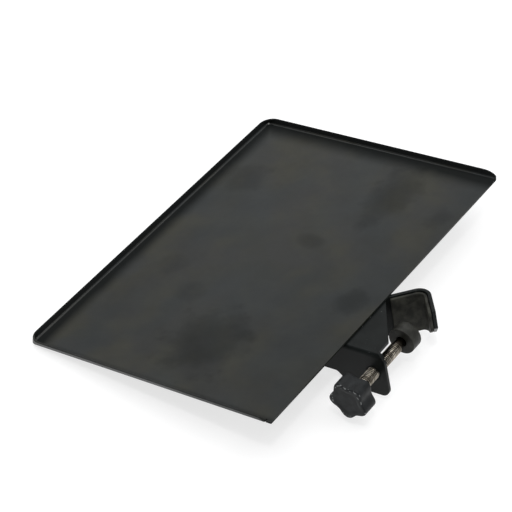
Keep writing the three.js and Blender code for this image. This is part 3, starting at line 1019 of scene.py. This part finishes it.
@dataclass
class JawShape:
    """The V seen from above: two straight legs joined by an arc.

    Attributes:
        x: crossing of the outer faces along X.
        y: the same along Y.
        inner_angle: degrees between the inner leg and the screw's direction.
        free_angle: the same on the free leg.
        radius: outside radius of the apex.
        height: height at the apex and along the inner leg.
        tip_height: height at the end of the free leg.
        free_length: free leg along its outer face, from the crossing.
        inner_length: the same on the inner leg.
        top: level of the jaw's top edge.
    """

    x: float
    y: float
    top: float
    height: float
    inner_angle: float = 45.5
    free_angle: float = 40
    radius: float = 8.5
    tip_height: float = 13.2
    free_length: float = 27
    inner_length: float = 46

    def directions(self) -> tuple[np.ndarray, np.ndarray, np.ndarray, np.ndarray]:
        """Along and inward directions of the inner leg and of the free leg."""
        inner, free = math.radians(self.inner_angle), math.radians(self.free_angle)
        return (
            np.array([-math.sin(inner), -math.cos(inner)]),
            np.array([math.cos(inner), -math.sin(inner)]),
            np.array([math.sin(free), -math.cos(free)]),
            np.array([-math.cos(free), -math.sin(free)]),
        )

    def path(self, inner_end: float, free_end: float) -> tuple[np.ndarray, np.ndarray, np.ndarray]:
        """The outer face from the inner leg's end round the apex to the free leg's end.

        Args:
            inner_end: distance from the crossing to the inner leg's end.
            free_end: the same on the free leg.

        Returns:
            Points, inward directions, and the distance along the free leg (0 elsewhere).
        """
        inner, inner_in, free, free_in = self.directions()
        crossing = np.array([self.x, self.y])
        opening = math.radians(self.inner_angle + self.free_angle) / 2
        straight = self.radius / math.tan(opening)
        centre = crossing + inner * straight + inner_in * self.radius
        first = math.atan2(-inner_in[1], -inner_in[0])
        last = math.atan2(-free_in[1], -free_in[0])
        angle = np.linspace(first, last, 22)[1:-1]
        spin = np.stack([np.cos(angle), np.sin(angle)], -1)
        inner_run = np.linspace(inner_end, straight, 26)[:, None]
        free_run = np.linspace(straight, free_end, 26)[:, None]
        points = np.concatenate([
            crossing + inner * inner_run, centre + self.radius * spin, crossing + free * free_run,
        ])
        inward = np.concatenate([
            np.tile(inner_in, (26, 1)), -spin, np.tile(free_in, (26, 1)),
        ])
        along = np.concatenate([np.zeros(26), np.zeros(20), free_run[:, 0]])
        return points, inward, along

    def low(self, along: np.ndarray, tip_height: float) -> np.ndarray:
        """Lower edge: level, then rising in a straight line along the free leg."""
        opening = math.radians(self.inner_angle + self.free_angle) / 2
        straight = self.radius / math.tan(opening)
        share = np.clip((along - straight) / (self.free_length - straight), 0, None)
        return self.top - self.height + (self.height - tip_height) * share

    def band(
        self, name: str, depth: tuple, level: tuple, edge: float, inner_end: float,
        overhang: float = 0.0, slant: float = 0.0,
    ) -> bpy.types.Object:
        """A strip that follows the V, with rounded edges.

        At each place on the path its section is a rectangle across the strip's thickness, with
        quarter circles at its corners; over the last stretch at each end the section shrinks
        by e(1 - cos t) while it moves on by e sin t, which rounds the end off.

        Args:
            name: the piece's name.
            depth: how far its two faces lie inside the V's outer face.
            level: its top; its second value is not used.
            edge: radius of the rounded edges.
            inner_end: distance from the crossing to its end on the inner leg.
            overhang: how much less high the free end is cut.
            slant: how much further along the inner leg its bottom reaches.

        Returns:
            The object.
        """
        path, inward, along = self.path(inner_end, self.free_length)
        low = self.low(along, self.tip_height + overhang)
        turn = np.linspace(math.pi / 2, 0, 5)
        first, last = path[0] - path[1], path[-1] - path[-2]
        first, last = first / np.linalg.norm(first), last / np.linalg.norm(last)
        shift_in = (edge * (np.sin(turn) - 1))[:, None]
        stations = np.concatenate([
            path[0] + first * shift_in, path[1:-1], (path[-1] + last * shift_in)[::-1],
        ])
        inset = np.concatenate([
            edge * (1 - np.cos(turn)), np.zeros(len(path) - 2), (edge * (1 - np.cos(turn)))[::-1],
        ])
        sides = np.concatenate([
            np.tile(inward[0], (5, 1)), inward[1:-1], np.tile(inward[-1], (5, 1)),
        ])
        bottom = np.concatenate([np.full(5, low[0]), low[1:-1], np.full(5, low[-1])])
        corner = np.linspace(0, math.pi / 2, 5)
        radius = np.maximum(edge - inset, 0.02)[:, None]
        half_deep = (depth[1] - depth[0]) / 2
        middle = (depth[1] + depth[0]) / 2
        top = level[0]
        reach_deep = half_deep - inset[:, None] - radius
        deep, high = [], []
        for quarter, (deep_side, high_side) in enumerate(((1, 1), (-1, 1), (-1, -1), (1, -1))):
            angle = (corner + quarter * math.pi / 2)[None, :]
            limit = top if high_side > 0 else bottom[:, None]
            centre_high = limit - high_side * (inset[:, None] + radius)
            deep.append(middle + deep_side * reach_deep + radius * np.cos(angle))
            high.append(centre_high + radius * np.sin(angle))
        deep, high = np.concatenate(deep, 1), np.concatenate(high, 1)
        place = stations[:, None, :] + sides[:, None, :] * deep[..., None]
        if slant:
            run = self.directions()[0]
            near = smooth(1 - (np.arange(len(stations)) / 12.0))[:, None]
            drop = (top - high) / (top - bottom[:, None])
            place = place + run * (slant * near * drop)[..., None]
        loops = np.concatenate([place, high[..., None]], -1)
        return loops_to_piece(name, loops, 45)


@dataclass
class ClampJaw:
    """The steel V that the pole sits in, and the rubber strip on its inner face."""

    shape: JawShape
    open_edge: float
    steel: float = 2.4
    gap: float = 0.3
    rubber: float = 2.0
    liner_inset: float = 0.8
    liner_beyond: float = 1.8
    liner_slant: float = 0.4
    liner_overhang: float = 1.6

    def build(self) -> list[bpy.types.Object]:
        """Builds the jaw and its liner."""
        shape = self.shape
        steel = shape.band(
            "hook_jaw_strip", (0, self.steel), (shape.top, 0), 0.45, shape.inner_length,
        )
        dress(steel, BracketPaint(), Body.BOARD, Slot.BRACKET_PAINT, "hook_jaw")
        near, far = self.steel + self.gap, self.steel + self.gap + self.rubber
        inner, inner_in, _, _ = shape.directions()
        start = shape.x + inner_in[0] * far
        end = (self.open_edge + self.liner_beyond - start) / inner[0]
        liner = shape.band(
            "jaw_liner_strip", (near, far), (shape.top - self.liner_inset, 0), 0.55, end,
            self.liner_overhang, self.liner_slant / abs(inner[0]),
        )
        dress(liner, LinerRubber(), Body.BOARD, Slot.LINER_RUBBER, "jaw_liner")
        return [steel, liner]


# ---- screw, bush, pad and knob --------------------------------------------------------------


@dataclass
class ClampScrew:
    """The threaded screw with its hexagon head and its pad groove."""

    axis: ScrewAxis
    head_start: float
    tip: float
    radius: float = 4.0
    pitch: float = 1.25
    thread_depth: float = 0.72
    head_length: float = 5.3
    head_across: float = 13
    thread_end: float = -25.5
    plain: float = 3.3
    neck: float = 2.4
    neck_length: float = 1.4
    tip_head: float = 1.4
    per_pitch: int = 12
    round_steps: int = 72

    def thread(self, y: np.ndarray, angle: np.ndarray) -> np.ndarray:
        """Radius of the thread, which climbs by one pitch in each turn.

        The phase is y / pitch + angle / 2 pi. Across one pitch the radius is a wave that is cut
        off flat at the crest and rounded at the root.
        """
        phase = (y / self.pitch + angle / (2 * math.pi)) % 1.0
        flank = np.abs(phase - 0.5) * 2
        height = np.clip((flank - 0.12) / 0.70, 0, 1)
        return self.radius - self.thread_depth * (1 - smooth(height) * 0.35 - height * 0.65)

    def build(self) -> bpy.types.Object:
        """The screw from its head to its tip as a grid of angle and length."""
        head_end = self.head_start + self.head_length
        neck_end = self.tip - self.tip_head
        neck_start = neck_end - self.neck_length
        shank = np.arange(head_end, neck_start, self.pitch / self.per_pitch)
        y = np.concatenate([
            [self.head_start, self.head_start + 0.4], [head_end - 0.01], shank,
            [neck_start - 0.001, neck_start, neck_end, neck_end + 0.001, self.tip],
        ])
        angle = np.linspace(0, 2 * math.pi, self.round_steps, endpoint=False)
        rows, turn = y[:, None], angle[None, :]
        radius = self.thread(rows, turn)
        lead_in = np.clip((self.thread_end - rows) / 0.7, 0, 1)
        radius = np.minimum(radius, self.plain + (self.radius - self.plain) * lead_in)
        radius = np.where(rows > self.thread_end, self.plain, radius)
        side = math.pi / 3
        flat = self.head_across / 2 / np.cos((turn % side) - side / 2)
        radius = np.where(rows < head_end - 0.001, flat, radius)
        radius = np.where(rows == self.head_start, flat - 0.4, radius)
        radius = np.where((rows >= neck_start) & (rows <= neck_end), self.neck, radius)
        radius = np.where(rows > neck_end, self.plain, radius)
        radius = np.where(rows == self.tip, self.neck, radius)
        loops = np.stack([
            self.axis.x + radius * np.cos(turn),
            np.broadcast_to(rows, radius.shape),
            self.axis.z + radius * np.sin(turn),
        ], -1)
        made = loops_to_piece("threaded_screw", loops, 60)
        steel = PlatedSteel((self.axis.x, self.axis.z))
        dress(made, steel, Body.SCREW, Slot.PLATED_STEEL, "clamp_screw")
        return made


@dataclass
class FlangeBush:
    """The bush pressed into the flange, which the screw runs in."""

    axis: ScrewAxis
    start: float
    end: float
    bore: float = 4.3
    spigot: float = 4.9
    collar: float = 6.4
    collar_length: float = 2.4

    def build(self) -> bpy.types.Object:
        """The bush turned from its section."""
        step = self.end - self.collar_length
        profile = fillet([
            (self.bore, self.start, 0.15), (self.spigot, self.start, 0.2), (self.spigot, step),
            (self.collar, step, 0.2), (self.collar, self.end, 0.4), (self.bore, self.end, 0.3),
        ])
        made = self.axis.turned("flange_bush", profile)
        dress(made, BracketPaint(), Body.BOARD, Slot.PLATED_STEEL, "threaded_bush")
        return made


@dataclass
class PressurePad:
    """The pad that snaps over the screw's tip."""

    axis: ScrewAxis
    front: float
    back: float
    radius: float = 9.1
    bore: float = 3.6
    wall: float = 3.6
    ridge: float = 2.7
    ridge_start: float = 1.7
    ridge_length: float = 0.8
    slack: float = 0.3

    def build(self) -> bpy.types.Object:
        """The pad turned from its section, with a groove ridge inside its bore."""
        bottom = self.back - self.wall
        ridge_end = bottom - self.ridge_start - self.slack
        ridge_begin = ridge_end - self.ridge_length
        profile = fillet([
            (self.bore, self.front, 0.3), (self.radius - 0.1, self.front, 0.45),
            (self.radius, self.back, 0.8), (0, self.back), (0, bottom),
            (self.bore, bottom), (self.bore, ridge_end, 0.2), (self.ridge, ridge_end, 0.2),
            (self.ridge, ridge_begin, 0.2), (self.bore, ridge_begin, 0.2),
        ])
        made = self.axis.turned("round_pad", profile)
        dress(made, PAD_PLASTIC, Body.PAD, Slot.PAD_PLASTIC, "pressure_pad")
        return made


@dataclass
class LobedKnob:
    """The five-lobed knob moulded over the screw's head."""

    axis: ScrewAxis
    front: float
    back: float
    head_front: float
    mean: float = 12.0
    lobe: float = 1.35
    lobes: int = 5
    lobe_turn: float = 45
    edge: float = 0.9
    bore: float = 4.3
    head_across: float = 13.6
    head_length: float = 5.9
    gap: float = 0.3

    def build(self) -> bpy.types.Object:
        """The knob turned from its section, with a wave of lobes on its outer radius."""
        angle = np.linspace(0, 2 * math.pi, 240, endpoint=False)
        wave = self.lobe * np.cos(self.lobes * (angle - math.radians(self.lobe_turn)))
        pocket = self.head_across / math.sqrt(3)
        pocket_start = self.head_front - self.gap
        pocket_end = self.head_front + self.head_length - self.gap
        profile = fillet([
            (0, self.front + 0.35), (self.mean * 0.62, self.front + 0.3, 5),
            (self.mean * 0.80, self.front, 3), (self.mean, self.front, self.edge),
            (self.mean, self.back, 1.0), (self.bore + 1.6, self.back, 0.3),
            (self.bore + 1.2, self.back - 0.5, 0.2), (self.bore, self.back - 0.5, 0.2),
            (self.bore, pocket_end), (pocket, pocket_end), (pocket, pocket_start),
            (0, pocket_start),
        ])
        made = self.axis.turned("lobed_knob", profile, 240, 40, wave)
        dress(made, KNOB_PLASTIC, Body.SCREW, Slot.KNOB_PLASTIC, "knob_body")
        return made


# ---- studio ---------------------------------------------------------------------------------


@dataclass
class Studio:
    """A pale floor, soft light and the camera, in metres.

    Attributes:
        camera_at: the camera's place.
        looks_along: its direction.
        camera_up: its upward direction.
        lens: its focal length in millimetres.
        sensor: its width in millimetres.
        farthest: how far it sees.
        floor_half: half the floor's side.
        foot: the object's feet lie beyond this distance left and right.
        steepest: the steepest slope that is tried for the floor.
        slopes: how many slopes are tried.
        clearance: the floor's distance below the feet.
    """

    camera_at: tuple = (0.73483, -0.82035, 0.79849)
    looks_along: tuple = (-0.545678, 0.600220, -0.584783)
    camera_up: tuple = (-0.230757, 0.563230, 0.793425)
    lens: float = 150.017
    sensor: float = 36.0
    farthest: float = 40.0
    floor_half: float = 12.0
    foot: float = 0.08
    steepest: float = -0.30
    slopes: int = 601
    clearance: float = 0.0004

    def camera(self) -> None:
        """Places the camera."""
        data = bpy.data.cameras.new("product_camera")
        data.lens = self.lens
        data.sensor_width = self.sensor
        data.clip_end = self.farthest
        made = bpy.data.objects.new("product_camera", data)
        back = -Vector(self.looks_along).normalized()
        up = Vector(self.camera_up)
        right = up.cross(back).normalized()
        up = back.cross(right)
        turn = Matrix((right, up, back)).transposed().to_4x4()
        made.matrix_world = Matrix.Translation(self.camera_at) @ turn
        bpy.context.scene.collection.objects.link(made)
        bpy.context.scene.camera = made

    def floor(self) -> None:
        """A plane under the left edge and the flange, which the object rests on.

        Of the slopes tried, it has the one whose planes under the left and the right foot are
        the nearest to each other.
        """
        points = np.concatenate([corners_of(node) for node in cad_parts.values()])
        slopes = np.linspace(self.steepest, 0.0, self.slopes)
        left = points[points[:, 0] < -self.foot]
        right = points[points[:, 0] > self.foot]
        drop_left = (left[:, 2][None] - slopes[:, None] * left[:, 0][None]).min(1)
        drop_right = (right[:, 2][None] - slopes[:, None] * right[:, 0][None]).min(1)
        best = int(np.argmin(np.abs(drop_left - drop_right)))
        slope = float(slopes[best])
        level = float(min(drop_left[best], drop_right[best])) - self.clearance
        half = self.floor_half
        corners = np.array([[-half, -half], [half, -half], [half, half], [-half, half]])
        rise = corners[:, :1] * slope + level
        made = make_piece("studio_floor", np.concatenate([corners, rise], 1) / MM, [[0, 1, 2, 3]])
        shader = Shader("studio_floor")
        grain = shader.noise(60, 2)
        shader.set(Base_Color=shader.blend(grain, (0.34, 0.34, 0.34), (0.36, 0.36, 0.36)))
        shader.set(Roughness=0.9, Specular_IOR_Level=0.2)
        shader.set(Emission_Color=(1.0, 1.0, 1.0, 1.0), Emission_Strength=0.72)
        made.data.materials.append(shader.material)

    def light(self, name: str, place: tuple, size: tuple, power: float, tint: tuple) -> None:
        """An area light aimed at the object.

        Args:
            name: its name.
            place: where it hangs, in metres.
            size: its width and height in metres.
            power: its power in watts.
            tint: its colour.
        """
        data = bpy.data.lights.new(name, "AREA")
        data.shape = "RECTANGLE"
        data.size, data.size_y = size
        data.energy = power
        data.color = tint
        made = bpy.data.objects.new(name, data)
        made.location = place
        aim = Vector((0.03, -0.02, 0.0)) - Vector(place)
        made.rotation_euler = aim.to_track_quat("-Z", "Y").to_euler()
        bpy.context.scene.collection.objects.link(made)

    def build(self) -> None:
        """Sets up the camera, the floor and the lights."""
        self.camera()
        self.floor()
        world = bpy.data.worlds.new("studio_world")
        world.use_nodes = True
        backdrop = world.node_tree.nodes["Background"]
        backdrop.inputs["Color"].default_value = (1.0, 1.0, 1.0, 1.0)
        backdrop.inputs["Strength"].default_value = 0.22
        bpy.context.scene.world = world
        self.light("back_panel", (-1.5, 1.7, 0.95), (2.2, 1.4), 5, (1.0, 1.0, 0.985))
        self.light("top_panel", (0.1, 0.25, 1.9), (3.0, 3.0), 52, (0.98, 0.99, 1.0))
        self.light("key_lamp", (0.72, -0.58, 1.45), (0.12, 0.12), 4.5, (1.0, 1.0, 1.0))
        self.light("right_panel", (1.9, 0.7, 0.7), (0.9, 0.9), 8, (0.97, 0.985, 1.0))
        settings = bpy.context.scene.view_settings
        settings.view_transform = "Standard"
        settings.look = "None"


def report(pieces: list[bpy.types.Object]) -> None:
    """Logs each piece with its number of faces."""
    for piece in pieces:
        LOG.info("%s: %d faces", piece.name, len(piece.data.polygons))


def main() -> None:
    """Builds the board, the clamp and the studio."""
    logging.basicConfig(level=logging.INFO, format="%(message)s")
    board = BoardPan()
    report([board.build()])
    report([ClampBracket().build()])

    jaw_low, jaw_high = low_high("hook_jaw")
    jaw = ClampJaw(
        JawShape(
            x=board.open_edge + 16.8, y=18.2, top=jaw_high[2], height=jaw_high[2] - jaw_low[2],
        ),
        board.open_edge,
    )
    report(jaw.build())

    pad_low, pad_high = low_high("pressure_pad")
    axis = ScrewAxis((pad_low[0] + pad_high[0]) / 2, (pad_low[2] + pad_high[2]) / 2)
    screw_low, screw_high = low_high("clamp_screw")
    bush_low, bush_high = low_high("threaded_bush")
    knob_low, knob_high = low_high("knob_body")
    report([
        ClampScrew(axis, screw_low[1], screw_high[1]).build(),
        FlangeBush(axis, bush_low[1], bush_high[1]).build(),
        PressurePad(axis, pad_low[1], pad_high[1]).build(),
        LobedKnob(axis, knob_low[1], knob_high[1], screw_low[1]).build(),
    ])
    Studio().build()


if __name__ == "__main__":
    main()
